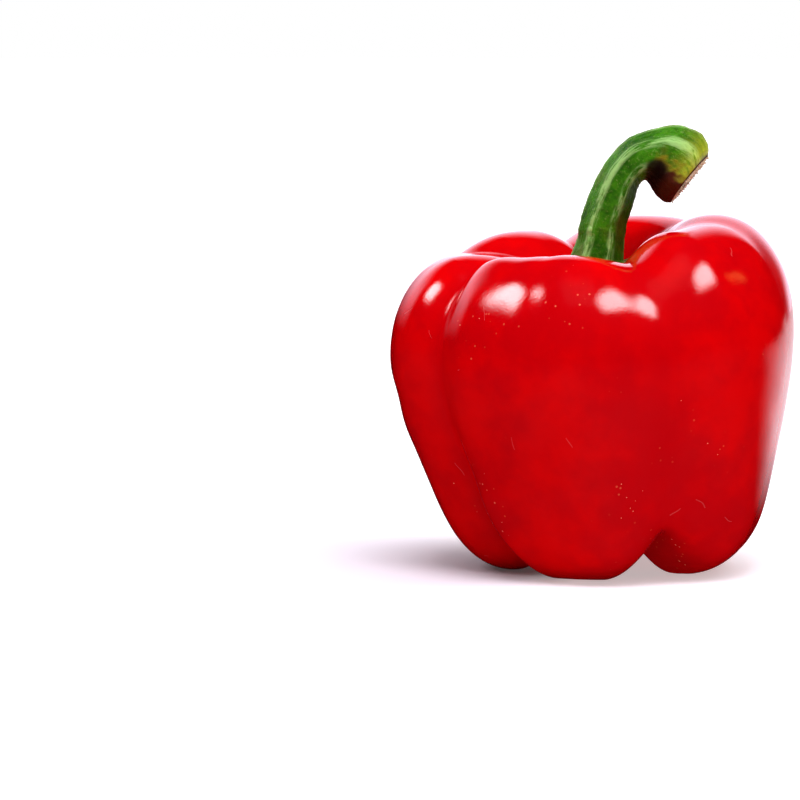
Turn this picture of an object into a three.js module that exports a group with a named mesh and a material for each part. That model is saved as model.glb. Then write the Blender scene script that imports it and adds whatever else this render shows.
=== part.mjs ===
// A bell pepper standing on its lobes: the red fruit, and the green stem grown out of its calyx.
// Millimetres, +Z up. The broad front lobe faces -Y and the stem bends over towards +X.
import * as THREE from 'three';
import { mergeVertices } from 'three/addons/utils/BufferGeometryUtils.js';

// Ridges run down the lobes and valleys lie between them, both in order of azimuth.
// azimuth: degrees at the crest, belly, heel and foot, counted from +X towards +Y.
// crest, belly, heel, foot: distance from the axis and height.
// round: pull of the shoulder's two handles, at the crest and at the belly.
const RIDGES = [
  {
    azimuth: [-130, -128, -120, -113], crest: [30.0, 72.6], belly: [43.8, 48.0], heel: [37.2, 18],
    foot: [16, -0.6], round: [0.42, 0.5],
  },
  {
    azimuth: [-104, -101, -92, -88], crest: [30.0, 73.4], belly: [44.5, 49.5], heel: [39.0, 17],
    foot: [15.5, -0.6], round: [0.42, 0.5],
  },
  {
    azimuth: [-48, -43, -34, -22], crest: [26.5, 78.4], belly: [44.5, 51.5], heel: [40.3, 16],
    foot: [19, -0.6], round: [0.5, 0.5],
  },
  {
    azimuth: [4, 5, 7, 8], crest: [27.0, 81.1], belly: [44.9, 56.5], heel: [38.5, 17],
    foot: [23, 0.1], round: [0.55, 0.55],
  },
  {
    azimuth: [66, 66, 74, 82], crest: [28.0, 79.6], belly: [43.5, 55.5], heel: [38.5, 17],
    foot: [20, -0.6], round: [0.55, 0.55],
  },
  {
    azimuth: [128, 136, 145, 152], crest: [28.0, 76.2], belly: [44.4, 52.5], heel: [38.0, 18],
    foot: [19, -0.6], round: [0.55, 0.55],
  },
  {
    azimuth: [197, 196, 195, 196], crest: [31.5, 72.2], belly: [47.9, 49.5], heel: [38.7, 20],
    foot: [18.5, -0.1], round: [0.52, 0.55],
  },
];

// Valley k lies before ridge k. sink: how far it lies inside and below the mean of its two ridges
// at the crest, inside them at the belly and heel, and above them at the foot.
// soft: how round its bottom is at the crest and at the foot.
// full: how full the lobe before it and the lobe after it bulge beside it.
const VALLEYS = [
  {
    azimuth: [-147, -145, -141, -130], sink: [1.5, 3.0, 3.2, 4.9, 7.5], soft: [0.02, 0.05],
    full: [1.9, 3.6],
  },
  {
    azimuth: [-114, -112, -107, -100], sink: [0.0, 0.0, 0.0, 0.0, 0.0], soft: [0.9, 0.9],
    full: [2.5, 2.5],
  },
  {
    azimuth: [-74, -70.5, -66, -55], sink: [2.8, 4.5, 3.5, 3.2, 10.4], soft: [0.3, 0.05],
    full: [2.5, 1.9],
  },
  {
    azimuth: [-20, -17, -14, -12], sink: [-0.6, 0.3, 0.2, 0.4, 0.4], soft: [0.5, 0.5],
    full: [1.8, 1.8],
  },
  {
    azimuth: [36, 36, 44, 50], sink: [1.0, 2.0, 1.8, 2.6, 7.5], soft: [0.1, 0.1], full: [2.5, 2.5],
  },
  {
    azimuth: [108, 110, 113, 118], sink: [2.2, 4.5, 3.0, 3.6, 7.0], soft: [0.05, 0.05],
    full: [2.5, 2.5],
  },
  {
    azimuth: [160, 168, 172, 176], sink: [1.3, 2.6, 1.6, 1.6, 0.6], soft: [0.1, 0.1],
    full: [2.5, 2.5],
  },
];

// Shallow dents in the flanks: azimuth, height, half width in degrees, half height, depth.
const DENTS = [
  [-172, 40, 12, 4.5, 0.8],
  [-178, 28, 14, 8, 0.4],
  [-12, 44, 9, 9, 0.35],
  [2, 30, 8, 7, 0.35],
  [12, 46, 7, 8, 0.4],
  [78, 50, 10, 12, 0.5],
  [145, 60, 12, 9, 0.4],
];

const SEAT_HEIGHT = 66.0;     // middle of the hollow that the stem grows from
const NAVEL_HEIGHT = 11;      // middle of the hollow between the feet
const SHARES = [0.21, 0.38, 0.66, 0.86];  // share of the way down at the crest, belly, heel and foot
const NAVEL_WIDTH = 0.66;     // share of the feet's distance from the axis
const SEAT_FLATNESS = 0.7;    // pull of the handles of the hollow's wall, at the seat and at the crest
const CREST_FLATNESS = 0.6;
const ROUNDING = 0.55;        // pull of the other curves' handles: near a circle's
const BELLY_LEAN = 1.4;       // slope of the wall at the heel against the straight line to the belly
const SMOOTHING = 0.022;      // share of the way down over which the curves are evened out
const FRUIT_SIDES = 84;
const FRUIT_ROWS = 44;

// The stem as two lines in the plane of its bend, outer and inner side, and its half width across it.
// outer x, outer z, inner x, inner z, half width.
const STEM = [
  [-6.6, 71.1, 5.7, 70.4, 6.2],
  [-5.0, 75.2, 5.9, 75.2, 5.5],
  [-3.9, 78.9, 6.3, 78.9, 5.1],
  [-1.6, 85.9, 7.8, 83.2, 4.8],
  [2.0, 92.8, 8.7, 86.6, 4.6],
  [6.6, 97.7, 9.8, 88.5, 4.8],
  [11.9, 99.9, 10.8, 89.0, 5.4],
  [17.8, 100.8, 11.7, 88.2, 6.4],
  [22.8, 99.0, 13.4, 85.8, 7.1],
  [24.6, 96.2, 15.2, 84.2, 6.9],
  [24.6, 93.8, 16.7, 83.9, 6.0],
];
const RIBS = 6;               // ribs along the stalk
const RIB_DEPTH = 0.045;      // share of the half width
const RIB_TURN = 0.1;         // radians
const TEETH = 7;              // teeth round the calyx
const TOOTH_LENGTH = 1.5;
const TOOTH_TURN = 0.6;       // radians
const CALYX_RADIUS = 10.4;    // to the bays between the teeth
const CALYX_THICKNESS = 1.0;
const GAP = 0.3;              // between the calyx and the skin below it
const STEM_SIDES = 48;
const UNDER_ROWS = 4;
const TOP_ROWS = 6;
const STALK_ROWS = 30;
const END_ROWS = 3;

const GREEN = '#4f7d22';
const RED = '#c40608';

const lineCount = RIDGES.length;

// A point on a cubic curve from four values.
function cubic(a, b, c, d, s) {
  const w = 1 - s;
  return w * w * w * a + 3 * w * w * s * b + 3 * w * s * s * c + s * s * s * d;
}

// The sizes of a valley, from the ridges on both sides of it.
function valleySizes(k) {
  const before = RIDGES[(k + lineCount - 1) % lineCount];
  const after = RIDGES[k];
  const [crestIn, crestDown, bellyIn, heelIn, footUp] = VALLEYS[k].sink;
  const mean = (name) => [(before[name][0] + after[name][0]) / 2, (before[name][1] + after[name][1]) / 2];
  const crest = mean('crest');
  const belly = mean('belly');
  const heel = mean('heel');
  const foot = mean('foot');
  return {
    crest: [crest[0] - crestIn, crest[1] - crestDown],
    belly: [belly[0] - bellyIn, belly[1]],
    heel: [heel[0] - heelIn, heel[1]],
    foot: [foot[0] - footUp / 5, foot[1] + footUp],
    round: mean('round'),
  };
}

const VALLEY_SIZES = VALLEYS.map((valley, k) => valleySizes(k));

// Distance from the axis and height on one line from the seat (down = 0) to the navel (down = 1).
function meridian(line, down) {
  const [crestShare, bellyShare, heelShare, footShare] = SHARES;
  const [crestR, crestZ] = line.crest;
  const [bellyR, bellyZ] = line.belly;
  const [heelR, heelZ] = line.heel;
  const [footR, footZ] = line.foot;
  const [atCrest, atBelly] = line.round;
  const wall = 0.36 * (bellyZ - heelZ);
  const under = ROUNDING * (heelZ - footZ);
  const slope = BELLY_LEAN * (bellyR - heelR) / (bellyZ - heelZ);
  if (down <= crestShare) {
    const s = down / crestShare;
    return [
      cubic(0, crestR * SEAT_FLATNESS, crestR * (1 - CREST_FLATNESS), crestR, s),
      cubic(SEAT_HEIGHT, SEAT_HEIGHT, crestZ, crestZ, s),
    ];
  }
  if (down <= bellyShare) {
    const s = (down - crestShare) / (bellyShare - crestShare);
    return [
      cubic(crestR, crestR + atCrest * (bellyR - crestR), bellyR, bellyR, s),
      cubic(crestZ, crestZ, bellyZ + atBelly * (crestZ - bellyZ), bellyZ, s),
    ];
  }
  if (down <= heelShare) {
    const s = (down - bellyShare) / (heelShare - bellyShare);
    return [
      cubic(bellyR, bellyR, heelR + slope * wall, heelR, s),
      cubic(bellyZ, bellyZ - wall, heelZ + wall, heelZ, s),
    ];
  }
  if (down <= footShare) {
    const s = (down - heelShare) / (footShare - heelShare);
    return [
      cubic(heelR, heelR - slope * under, footR + ROUNDING * (heelR - footR), footR, s),
      cubic(heelZ, heelZ - under, footZ, footZ, s),
    ];
  }
  const s = (down - footShare) / (1 - footShare);
  return [
    cubic(footR, footR * NAVEL_WIDTH, footR * NAVEL_WIDTH, 0, s),
    cubic(footZ, footZ, NAVEL_HEIGHT, NAVEL_HEIGHT, s),
  ];
}

// Azimuth of a ridge or valley at one height: it drifts from crest to belly, heel and foot.
function azimuthAt(line, down) {
  let total = line.azimuth[0];
  for (let n = 0; n < 3; n += 1) {
    total += (line.azimuth[n + 1] - line.azimuth[n])
      * THREE.MathUtils.smoothstep(down, SHARES[n], SHARES[n + 1]);
  }
  return total;
}

// A point of the skin. Round the fruit, valley k is at around = k and ridge k at around = k + 0.5.
function rawSkin(around, down) {
  const k = Math.floor(around) % lineCount;
  const part = around - Math.floor(around);
  const next = (k + 1) % lineCount;
  const firstHalf = part < 0.5;
  const side = firstHalf ? k : next;
  const fullTurn = !firstHalf && next === 0 ? 360 : 0;
  const out = firstHalf ? 2 * part : 2 - 2 * part;
  const valleyAzimuth = azimuthAt(VALLEYS[side], down) + fullTurn;
  const degrees = valleyAzimuth + (azimuthAt(RIDGES[k], down) - valleyAzimuth) * out;
  // The bulge from valley to ridge, rounder at the belly, where the valleys fade
  const [atTop, atFoot] = VALLEYS[side].soft;
  const soft = atTop + (atFoot - atTop) * THREE.MathUtils.smoothstep(down, 0, SHARES[3])
    + 0.5 * Math.exp(-(((down - 0.43) / 0.09) ** 2));
  const eased = (Math.hypot(out, soft) - soft) / (Math.hypot(1, soft) - soft);
  const bulge = 1 - (1 - eased) ** VALLEYS[side].full[firstHalf ? 1 : 0];
  const [ridgeR, ridgeZ] = meridian(RIDGES[k], down);
  const [valleyR, valleyZ] = meridian(VALLEY_SIZES[side], down);
  const z = valleyZ + (ridgeZ - valleyZ) * bulge;
  let r = valleyR + (ridgeR - valleyR) * bulge;
  for (const [dentAzimuth, dentZ, halfWidth, halfHeight, depth] of DENTS) {
    const turned = THREE.MathUtils.euclideanModulo(degrees - dentAzimuth + 180, 360) - 180;
    const fade = Math.exp(-((turned / halfWidth) ** 2) - ((z - dentZ) / halfHeight) ** 2);
    r -= depth * fade * THREE.MathUtils.clamp(r / 30, 0, 1);
  }
  const angle = THREE.MathUtils.degToRad(degrees);
  return new THREE.Vector3(r * Math.cos(angle), r * Math.sin(angle), z);
}

// The same point evened out along its line, with the feet cut flat where the fruit rests.
function fruitSkin(around, down) {
  const step = Math.min(SMOOTHING, down / 2, (1 - down) / 2);
  const spot = rawSkin(around, down).multiplyScalar(2);
  spot.add(rawSkin(around, down - step)).add(rawSkin(around, down + step)).divideScalar(4);
  spot.z = Math.max(spot.z, 0);
  return spot;
}

// Height of the skin round the seat, at an azimuth in radians and a distance from the axis.
function seatHeight(angle, distance) {
  const start = VALLEYS[0].azimuth[0];
  const turned = THREE.MathUtils.euclideanModulo(THREE.MathUtils.radToDeg(angle) - start, 360) + start;
  const marks = [];
  for (let k = 0; k < lineCount; k += 1) {
    marks.push(VALLEYS[k].azimuth[0], RIDGES[k].azimuth[0]);
  }
  marks.push(start + 360);
  let m = 0;
  while (m < marks.length - 2 && turned > marks[m + 1]) m += 1;
  const around = (m + (turned - marks[m]) / (marks[m + 1] - marks[m])) / 2;
  let low = 0;
  let high = SHARES[0];
  for (let n = 0; n < 26; n += 1) {
    const half = (low + high) / 2;
    const spot = fruitSkin(around, half);
    if (Math.hypot(spot.x, spot.y) < distance) low = half;
    else high = half;
  }
  return fruitSkin(around, (low + high) / 2).z;
}

// A closed skin: a sphere whose vertices are moved to where place(around, row) puts them.
function closedSkin(sides, rows, place) {
  const geometry = new THREE.SphereGeometry(1, sides, rows);
  const spots = geometry.attributes.position;
  for (let n = 0; n < spots.count; n += 1) {
    const column = n % (sides + 1);
    const row = Math.floor(n / (sides + 1));
    const spot = place((column % sides) / sides, row);
    spots.setXYZ(n, spot.x, spot.y, spot.z);
  }
  geometry.deleteAttribute('normal');
  geometry.deleteAttribute('uv');
  const merged = mergeVertices(geometry, 1e-4);
  merged.computeVertexNormals();
  return merged;
}

// Value n of the stem's stations at a place between them, on a Catmull-Rom curve.
function stationValue(place, n) {
  const last = STEM.length - 1;
  const k = Math.min(Math.floor(place), last - 1);
  const s = place - k;
  const b = STEM[k][n];
  const c = STEM[k + 1][n];
  const a = k > 0 ? STEM[k - 1][n] : 2 * b - c;
  const d = k + 1 < last ? STEM[k + 2][n] : 2 * c - b;
  return 0.5 * (2 * b + (c - a) * s + (2 * a - 5 * b + 4 * c - d) * s * s
    + (3 * b - a - 3 * c + d) * s * s * s);
}

// A ring of the stalk: share 0 at its foot, 1 at the cut end. scale shrinks it, out pushes it along the stem.
function stalkPoint(angle, share, scale, out) {
  const place = share * (STEM.length - 1);
  const outer = new THREE.Vector3(stationValue(place, 0), 0, stationValue(place, 1));
  const inner = new THREE.Vector3(stationValue(place, 2), 0, stationValue(place, 3));
  const middle = outer.clone().add(inner).multiplyScalar(0.5);
  const reach = inner.clone().sub(middle);
  const along = new THREE.Vector3(-reach.z, 0, reach.x).normalize();
  const ribs = 1 + RIB_DEPTH * Math.cos(RIBS * angle + RIB_TURN) + 0.015 * Math.cos(4 * angle - 0.5);
  const spot = middle.clone();
  spot.addScaledVector(reach, Math.cos(angle) * ribs * scale);
  spot.y += Math.sin(angle) * ribs * scale * stationValue(place, 4);
  return spot.addScaledVector(along, out);
}

// A point of the calyx lying on the seat, at a distance from the axis and a lift above the gap.
function calyxPoint(angle, distance, lift) {
  const z = seatHeight(angle, distance) + GAP + lift;
  return new THREE.Vector3(distance * Math.cos(angle), distance * Math.sin(angle), z);
}

const STEM_ROWS = UNDER_ROWS + 1 + TOP_ROWS + STALK_ROWS + 1 + END_ROWS;

// A point of stem and calyx. Row 0 is the middle of the cut end, the last row the middle of the underside.
function stemSkin(around, row) {
  const angle = around * 2 * Math.PI - Math.PI;
  const tooth = 0.5 + 0.5 * Math.cos(TEETH * angle + TOOTH_TURN);
  const rim = CALYX_RADIUS + TOOTH_LENGTH * tooth ** 1.6 + 0.35 * Math.sin(3 * angle + 1);
  let n = row;
  if (n < END_ROWS) {
    return stalkPoint(angle, 1, n / END_ROWS, n === 0 ? -0.5 : 0.3 * (n / END_ROWS) - 0.3);
  }
  n -= END_ROWS;
  if (n <= STALK_ROWS) {
    return stalkPoint(angle, 1 - n / STALK_ROWS, 1, 0);
  }
  n -= STALK_ROWS;
  if (n <= TOP_ROWS) {
    // From the foot of the stalk out to the rim: a pocket between the ribs that run to the teeth
    const inward = 1 - n / TOP_ROWS;
    const foot = stalkPoint(angle, 0, 1.05, 0);
    const distance = rim * 0.985 * (1 - inward) + Math.hypot(foot.x, foot.y) * inward;
    const pocket = 0.55 * Math.sin(Math.PI * Math.min(inward * 1.25, 1));
    const rib = 0.8 * tooth ** 3 * Math.sin(Math.PI * Math.min(inward * 1.1, 1));
    const spot = calyxPoint(angle, distance, CALYX_THICKNESS + 0.3 * inward + rib - pocket);
    spot.z += (foot.z - spot.z) * inward ** 3;
    return spot;
  }
  n -= TOP_ROWS;
  if (n === 1) {
    return calyxPoint(angle, rim, CALYX_THICKNESS / 2);
  }
  const reach = 1 - (n - 2) / UNDER_ROWS;
  if (n - 2 >= UNDER_ROWS) {
    return new THREE.Vector3(0, 0, SEAT_HEIGHT + GAP);
  }
  return calyxPoint(angle, rim * 0.985 * reach, 0);
}

const skinRed = new THREE.MeshStandardMaterial({ color: RED, roughness: 0.2, metalness: 0 });
const stemGreen = new THREE.MeshStandardMaterial({ color: GREEN, roughness: 0.45, metalness: 0 });

const fruit = new THREE.Mesh(
  closedSkin(FRUIT_SIDES, FRUIT_ROWS, (around, row) => fruitSkin(around * lineCount, row / FRUIT_ROWS)),
  skinRed,
);
fruit.name = 'fruit';

const stem = new THREE.Mesh(closedSkin(STEM_SIDES, STEM_ROWS, stemSkin), stemGreen);
stem.name = 'stem_and_calyx';

// The origin lies under the middle of the whole pepper, on the surface it stands on.
const pepper = new THREE.Group();
pepper.add(fruit, stem);
const middle = new THREE.Box3().setFromObject(pepper).getCenter(new THREE.Vector3());
pepper.position.set(-middle.x, -middle.y, 0);

export default pepper;
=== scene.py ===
"""A red bell pepper standing on its lobes: the glossy fruit, its corky specks, the stem grown out of
its calyx and the frayed fibres round the cut end of the stem, on a plain white studio floor."""

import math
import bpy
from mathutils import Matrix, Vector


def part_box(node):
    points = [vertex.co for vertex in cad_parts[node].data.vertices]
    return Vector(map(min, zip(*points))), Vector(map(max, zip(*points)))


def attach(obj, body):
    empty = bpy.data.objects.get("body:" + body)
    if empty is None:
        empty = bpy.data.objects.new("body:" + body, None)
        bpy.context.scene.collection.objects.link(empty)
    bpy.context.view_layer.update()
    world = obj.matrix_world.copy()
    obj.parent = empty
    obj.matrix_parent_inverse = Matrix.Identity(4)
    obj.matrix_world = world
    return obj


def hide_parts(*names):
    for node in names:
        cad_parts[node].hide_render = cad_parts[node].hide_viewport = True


bl_info = {
    "name": "Bell Pepper",
    "version": (1, 0, 0),
    "blender": (4, 5, 0),
    "location": "View3D > Sidebar > Bell Pepper",
    "description": "Makes a lobed bell pepper with its stem, and the studio around it",
    "category": "Add Mesh",
}

import bpy
import numpy as np
from mathutils import Vector, noise

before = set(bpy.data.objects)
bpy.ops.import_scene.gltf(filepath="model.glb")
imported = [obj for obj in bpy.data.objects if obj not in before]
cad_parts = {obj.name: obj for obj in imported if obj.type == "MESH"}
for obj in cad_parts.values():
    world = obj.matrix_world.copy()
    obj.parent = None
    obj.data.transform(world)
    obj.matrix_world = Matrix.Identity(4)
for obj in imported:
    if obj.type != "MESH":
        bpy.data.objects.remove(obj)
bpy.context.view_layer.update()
FRUIT_LOW, FRUIT_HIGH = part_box("fruit")

MM = 0.001

# Ridges run down the lobes and valleys lie between them, both in order of azimuth. Each ridge has
# - its azimuths at the crest, belly, heel and foot, in degrees from +X towards +Y,
# - its distance from the axis and its height at the crest, belly, heel and foot, in millimetres,
# - the pull of the shoulder's two handles, at the crest and at the belly.
RIDGES = (
    ((-130, -128, -120, -113), (30.0, 72.6), (43.8, 48.0), (37.2, 18), (16, -0.6), (0.42, 0.5)),
    ((-104, -101, -92, -88), (30.0, 73.4), (44.5, 49.5), (39.0, 17), (15.5, -0.6), (0.42, 0.5)),
    ((-48, -43, -34, -22), (26.5, 78.4), (44.5, 51.5), (40.3, 16), (19, -0.6), (0.5, 0.5)),
    ((4, 5, 7, 8), (27.0, 81.1), (44.9, 56.5), (38.5, 17), (23, 0.1), (0.55, 0.55)),
    ((66, 66, 74, 82), (28.0, 79.6), (43.5, 55.5), (38.5, 17), (20, -0.6), (0.55, 0.55)),
    ((128, 136, 145, 152), (28.0, 76.2), (44.4, 52.5), (38.0, 18), (19, -0.6), (0.55, 0.55)),
    ((197, 196, 195, 196), (31.5, 72.2), (47.9, 49.5), (38.7, 20), (18.5, -0.1), (0.52, 0.55)),
)

# Valley k lies before ridge k. Each valley has
# - its azimuths, as a ridge has,
# - its sink: how far it lies inside and below the mean of its two ridges at the crest, inside them at the
#   belly and at the heel, and above them at the foot,
# - how round its bottom is, at the crest and at the foot,
# - how full the lobe before it and the lobe after it bulge beside it.
VALLEYS = (
    ((-147, -145, -141, -130), (1.5, 3.0, 3.2, 4.9, 7.5), (0.02, 0.05), (1.9, 3.6)),
    ((-114, -112, -107, -100), (0.0, 0.0, 0.0, 0.0, 0.0), (0.9, 0.9), (2.5, 2.5)),
    ((-74, -70.5, -66, -55), (2.8, 4.5, 3.5, 3.2, 10.4), (0.3, 0.05), (2.5, 1.9)),
    ((-20, -17, -14, -12), (-0.6, 0.3, 0.2, 0.4, 0.4), (0.5, 0.5), (1.8, 1.8)),
    ((36, 36, 44, 50), (1.0, 2.0, 1.8, 2.6, 7.5), (0.1, 0.1), (2.5, 2.5)),
    ((108, 110, 113, 118), (2.2, 4.5, 3.0, 3.6, 7.0), (0.05, 0.05), (2.5, 2.5)),
    ((160, 168, 172, 176), (1.3, 2.6, 1.6, 1.6, 0.6), (0.1, 0.1), (2.5, 2.5)),
)
RIDGE_AZIMUTHS, VALLEY_AZIMUTHS = (np.array([line[0] for line in lines], float) for lines in (RIDGES, VALLEYS))
SINKS, SOFTNESS, FULLNESS = (np.array([line[n] for line in VALLEYS], float) for n in (1, 2, 3))

# Shallow dents in the flanks: azimuth, height, half width in degrees, half height, depth.
DENTS = (
    (-172, 40, 12, 4.5, 0.8),
    (-178, 28, 14, 8, 0.4),
    (-12, 44, 9, 9, 0.35),
    (2, 30, 8, 7, 0.35),
    (12, 46, 7, 8, 0.4),
    (78, 50, 10, 12, 0.5),
    (145, 60, 12, 9, 0.4),
)

LOBE_LINES = len(RIDGES)
SEAT_HEIGHT = 66.0       # middle of the hollow that the stem grows from
NAVEL_HEIGHT = 11        # middle of the hollow between the feet
SHARES = (0.21, 0.38, 0.66, 0.86)  # share of the way down at the crest, belly, heel and foot
NAVEL_WIDTH = 0.66       # share of the feet's distance from the axis
SEAT_FLATNESS = 0.7      # pull of the handles of the hollow's wall, at the seat and at the crest
CREST_FLATNESS = 0.6
ROUNDING = 0.55          # pull of the other curves' handles: near a circle's
BELLY_LEAN = 1.4         # slope of the wall at the heel against the straight line to the belly
SMOOTHING = 0.022        # share of the way down over which the curves are evened out
FRUIT_SIDES = 336
FRUIT_ROWS = 150

# The stem as two lines in the plane of its bend, outer and inner side, and its half width across it:
# outer x, outer z, inner x, inner z, half width.
STEM = (
    (-6.0, 71.1, 5.5, 70.4, 6.2),
    (-4.5, 75.2, 5.8, 75.2, 5.4),
    (-3.9, 78.9, 6.3, 78.9, 5.1),
    (-1.6, 85.9, 7.8, 83.2, 4.8),
    (2.0, 92.8, 8.7, 86.6, 4.6),
    (6.6, 97.7, 9.8, 88.5, 4.8),
    (11.9, 99.9, 10.8, 89.0, 5.4),
    (17.8, 100.8, 11.7, 88.2, 6.4),
    (22.8, 99.0, 13.4, 85.8, 7.1),
    (24.6, 96.2, 15.2, 84.2, 6.9),
    (24.6, 93.8, 16.7, 83.9, 6.0),
)
RIBS = 6                 # ribs along the stalk
RIB_DEPTH = 0.045        # share of the half width
RIB_TURN = 0.1           # radians
CUT_TURN = 0.7           # how far the back of the cut face stands out
TEETH = 7                # teeth round the calyx
TOOTH_LENGTH = 1.5
TOOTH_TURN = 0.6         # radians
CALYX_RADIUS = 10.4      # to the bays between the teeth
CALYX_THICKNESS = 1.0
GAP = 0.3                # between the calyx and the skin below it
STEM_SIDES = 180
UNDER_ROWS = 6
TOP_ROWS = 24
STALK_ROWS = 130
END_ROWS = 12
FIBRE_SEED, SPECK_SEED = 5, 11


# The shape of the fruit

def cubic(a, b, c, d, s):
    """A point on a cubic curve from four values."""
    w = 1 - s
    return w ** 3 * a + 3 * w * w * s * b + 3 * w * s * s * c + s ** 3 * d


def line_sizes():
    """The sizes of the ridges and of the valleys, one row each: radius and height at crest to foot."""
    ridges = np.array([sum(line[1:], ()) for line in RIDGES], float)
    valleys = (ridges + np.roll(ridges, 1, axis=0)) / 2
    for row, (crest_in, crest_down, belly, heel, bottom) in zip(valleys, SINKS):
        row += (-crest_in, -crest_down, -belly, 0, -heel, 0, -bottom / 5, bottom, 0, 0)
    return ridges, valleys


def meridian(sizes, down):
    """Distance from the axis and height on lines from the seat (down = 0) to the navel (down = 1)."""
    crest_r, crest_z, belly_r, belly_z, heel_r, heel_z, foot_r, foot_z, at_crest, at_belly = np.moveaxis(sizes, -1, 0)
    wall = 0.36 * (belly_z - heel_z)
    under = ROUNDING * (heel_z - foot_z)
    slope = BELLY_LEAN * (belly_r - heel_r) / (belly_z - heel_z)
    zero = np.zeros_like(crest_r)
    seat, navel = zero + SEAT_HEIGHT, zero + NAVEL_HEIGHT
    pieces = (
        ((zero, crest_r * SEAT_FLATNESS, crest_r * (1 - CREST_FLATNESS), crest_r), (seat, seat, crest_z, crest_z)),
        ((crest_r, crest_r + at_crest * (belly_r - crest_r), belly_r, belly_r),
         (crest_z, crest_z, belly_z + at_belly * (crest_z - belly_z), belly_z)),
        ((belly_r, belly_r, heel_r + slope * wall, heel_r),
         (belly_z, belly_z - wall, heel_z + wall, heel_z)),
        ((heel_r, heel_r - slope * under, foot_r + ROUNDING * (heel_r - foot_r), foot_r),
         (heel_z, heel_z - under, foot_z, foot_z)),
        ((foot_r, foot_r * NAVEL_WIDTH, foot_r * NAVEL_WIDTH, zero), (foot_z, foot_z, navel, navel)),
    )
    limits = (0, *SHARES, 1)
    r, z = zero.copy(), zero.copy()
    for n, (radii, heights) in enumerate(pieces):
        here = (down >= limits[n]) & (down <= limits[n + 1])
        s = np.clip((down - limits[n]) / (limits[n + 1] - limits[n]), 0, 1)
        r = np.where(here, cubic(*radii, s), r)
        z = np.where(here, cubic(*heights, s), z)
    return r, z


def smooth(s):
    s = np.clip(s, 0, 1)
    return s * s * (3 - 2 * s)


def azimuth_at(azimuths, down):
    """Azimuth of a ridge or valley at one height: it drifts from crest to belly, heel and foot."""
    total = azimuths[..., 0]
    for n in range(3):
        share = smooth((down - SHARES[n]) / (SHARES[n + 1] - SHARES[n]))
        total = total + (azimuths[..., n + 1] - azimuths[..., n]) * share
    return total


def raw_skin(around, down):
    """Points of the skin. Round the fruit, valley k is at around = k and ridge k at around = k + 0.5."""
    ridges, valleys = line_sizes()
    low_share = smooth(down / SHARES[3])
    k = np.floor(around).astype(int) % LOBE_LINES
    part = around - np.floor(around)
    first_half = part < 0.5
    side = np.where(first_half, k, (k + 1) % LOBE_LINES)
    full_turn = np.where(~first_half & (side == 0), 360, 0)
    out = np.where(first_half, 2 * part, 2 - 2 * part)
    valley_azimuth = azimuth_at(VALLEY_AZIMUTHS[side], down) + full_turn
    degrees = valley_azimuth + (azimuth_at(RIDGE_AZIMUTHS[k], down) - valley_azimuth) * out
    # The bulge from valley to ridge, rounder at the belly, where the valleys fade
    at_top, at_foot = np.moveaxis(SOFTNESS[side], -1, 0)
    soft = at_top + (at_foot - at_top) * low_share + 0.5 * np.exp(-(((down - 0.43) / 0.09) ** 2))
    eased = (np.hypot(out, soft) - soft) / (np.hypot(1, soft) - soft)
    bulge = 1 - (1 - eased) ** FULLNESS[side, first_half.astype(int)]
    ridge_r, ridge_z = meridian(ridges[k], down)
    valley_r, valley_z = meridian(valleys[side], down)
    r = valley_r + (ridge_r - valley_r) * bulge
    z = valley_z + (ridge_z - valley_z) * bulge
    for dent_azimuth, dent_z, half_width, half_height, depth in DENTS:
        turned = (degrees - dent_azimuth + 180) % 360 - 180
        fade = np.exp(-((turned / half_width) ** 2) - ((z - dent_z) / half_height) ** 2)
        r = r - depth * fade * np.clip(r / 30, 0, 1)
    angle = np.radians(degrees)
    return np.stack([r * np.cos(angle), r * np.sin(angle), z], -1)


def fruit_skin(around, down):
    """The same points evened out along their lines, with the feet cut flat where the fruit rests."""
    around, down = np.broadcast_arrays(np.asarray(around, float), np.asarray(down, float))
    step = np.minimum(SMOOTHING, np.minimum(down, 1 - down) / 2)
    spots = (raw_skin(around, down - step) + 2 * raw_skin(around, down) + raw_skin(around, down + step)) / 4
    spots[..., 2] = np.maximum(spots[..., 2], 0)
    return spots


def seat_height(angle, distance):
    """Height of the skin round the seat, at azimuths in radians and distances from the axis."""
    start = VALLEYS[0][0][0]
    turned = (np.degrees(angle) - start) % 360 + start
    marks = [line[0][0] for pair in zip(VALLEYS, RIDGES) for line in pair] + [start + 360]
    around = np.interp(turned, marks, np.arange(len(marks)) / 2)
    low, high = np.zeros_like(distance), np.full_like(distance, SHARES[0])
    for _ in range(26):
        half = (low + high) / 2
        spots = fruit_skin(around, half)
        short = np.hypot(spots[..., 0], spots[..., 1]) < distance
        low, high = np.where(short, half, low), np.where(short, high, half)
    return fruit_skin(around, (low + high) / 2)[..., 2]


# The shape of the stem

def station(place):
    """The stem's five values at a place between its stations, on a Catmull-Rom curve."""
    rows = np.array(STEM, float)
    rows = np.vstack([2 * rows[0] - rows[1], rows, 2 * rows[-1] - rows[-2]])
    k = min(int(place), len(STEM) - 2)
    s = place - k
    a, b, c, d = rows[k:k + 4]
    return 0.5 * (2 * b + (c - a) * s + (2 * a - 5 * b + 4 * c - d) * s * s + (3 * b - a - 3 * c + d) * s ** 3)


def rib_height(angle):
    """1 along a rib of the stalk, 0 between two of them."""
    return 0.5 + 0.5 * np.cos(RIBS * angle + RIB_TURN)


def tooth_height(angle):
    """1 at the tip of a tooth of the calyx, 0 between two of them."""
    return 0.5 + 0.5 * np.cos(TEETH * angle + TOOTH_TURN)


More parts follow.
